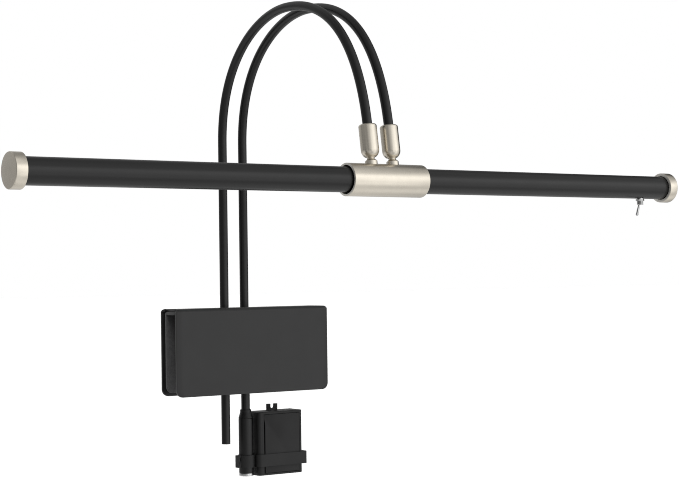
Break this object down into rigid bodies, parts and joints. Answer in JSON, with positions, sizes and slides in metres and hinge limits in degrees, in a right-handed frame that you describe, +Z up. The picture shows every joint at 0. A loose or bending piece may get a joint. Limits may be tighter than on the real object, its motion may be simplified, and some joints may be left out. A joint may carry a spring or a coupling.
{
  "type": "picture light",
  "caption": "Slim tubular picture light on swivel joints, carried by bent arms that rise from a U-shaped clip hooked over a panel's top edge.",
  "frame": {"origin": "middle of the seat face inside the clip, which rests on the top edge of the panel", "axes": "+X along the lamp tube, to the viewer's right; +Y away from the viewer, behind the panel; +Z up"},
  "size_m": [0.6004, 0.2371, 0.3864],
  "materials": {
    "clip_black": "satin black powder coat",
    "saddle_black": "satin black powder coat",
    "arm_black": "smooth satin black paint",
    "tube_black": "satin black coating",
    "barrel_black": "satin black",
    "felt": "soft grey-black felted pad",
    "satin_nickel": "satin nickel plate",
    "bright_chrome": "bright plate",
    "screw_steel": "plain steel",
    "brass": "machined",
    "black_plastic": "fine matte",
    "case_black": "fine matte moulding",
    "seat_plastic": "natural acetal",
    "diffuser_white": "opal",
    "board_white": "white solder mask",
    "phosphor": "yellow phosphor coating",
    "board_green": "green solder mask",
    "lead_grey": "plain",
    "capacitor_metal": "plain can"
  },
  "bodies": {
    "clip": {"clip_body": "clip_black", "front_pad": "felt", "rear_pad": "felt", "seat_pad": "felt", "saddle_base": "saddle_black", "saddle_cap": "saddle_black", "saddle_screw_1": "screw_steel", "saddle_screw_2": "screw_steel", "saddle_screw_3": "screw_steel", "saddle_screw_4": "screw_steel"},
    "arms": {"arm_left": "arm_black", "arm_right": "arm_black", "arm_plug": "black_plastic", "arm_lead": "lead_grey", "socket_left": "satin_nickel", "socket_right": "satin_nickel", "socket_spring_left": "screw_steel", "socket_spring_right": "screw_steel", "ferrule_left": "brass", "ferrule_right": "brass", "ball_seat_left": "seat_plastic", "ball_seat_right": "seat_plastic", "jack_gland": "black_plastic", "jack_barrel": "barrel_black", "jack_ring": "bright_chrome", "jack_insert": "black_plastic", "jack_pin": "brass", "power_case": "case_black", "power_cover": "case_black", "power_board": "board_green", "power_inductor": "lead_grey", "power_capacitor": "capacitor_metal", "strap_band": "case_black"},
    "head": {"ball_stud_left": "satin_nickel", "ball_stud_right": "satin_nickel", "stud_collar_left": "satin_nickel", "stud_collar_right": "satin_nickel", "centre_sleeve": "satin_nickel", "sleeve_bush_left": "black_plastic", "sleeve_bush_right": "black_plastic"},
    "lamp": {"lamp_tube": "tube_black", "diffuser": "diffuser_white", "led_board": "board_white", "led_strip": "phosphor", "lamp_lead": "lead_grey", "end_cap_left": "satin_nickel", "end_cap_right": "satin_nickel", "toggle_body": "black_plastic", "toggle_bushing": "bright_chrome", "toggle_nut": "bright_chrome"},
    "lever": {"toggle_lever": "bright_chrome"}
  },
  "joints": [
    {"name": "arm_height", "type": "slide", "parent": "clip", "child": "arms", "axis": [0, 0, 1], "range_m": [-0.12, 0.016]},
    {"name": "head_tilt", "type": "hinge", "parent": "arms", "child": "head", "pos_m": [0, -0.19181, 0.12048], "axis": [1, 0, 0], "range_deg": [-20, 20]},
    {"name": "lamp_roll", "type": "hinge", "parent": "head", "child": "lamp", "pos_m": [0, -0.1948, 0.1005], "axis": [1, 0, 0], "range_deg": [-45, 45]},
    {"name": "toggle_throw", "type": "hinge", "parent": "lamp", "child": "lever", "pos_m": [0.2676, -0.1948, 0.09], "axis": [0, -1, 0], "range_deg": [0, 34]}
  ]
}
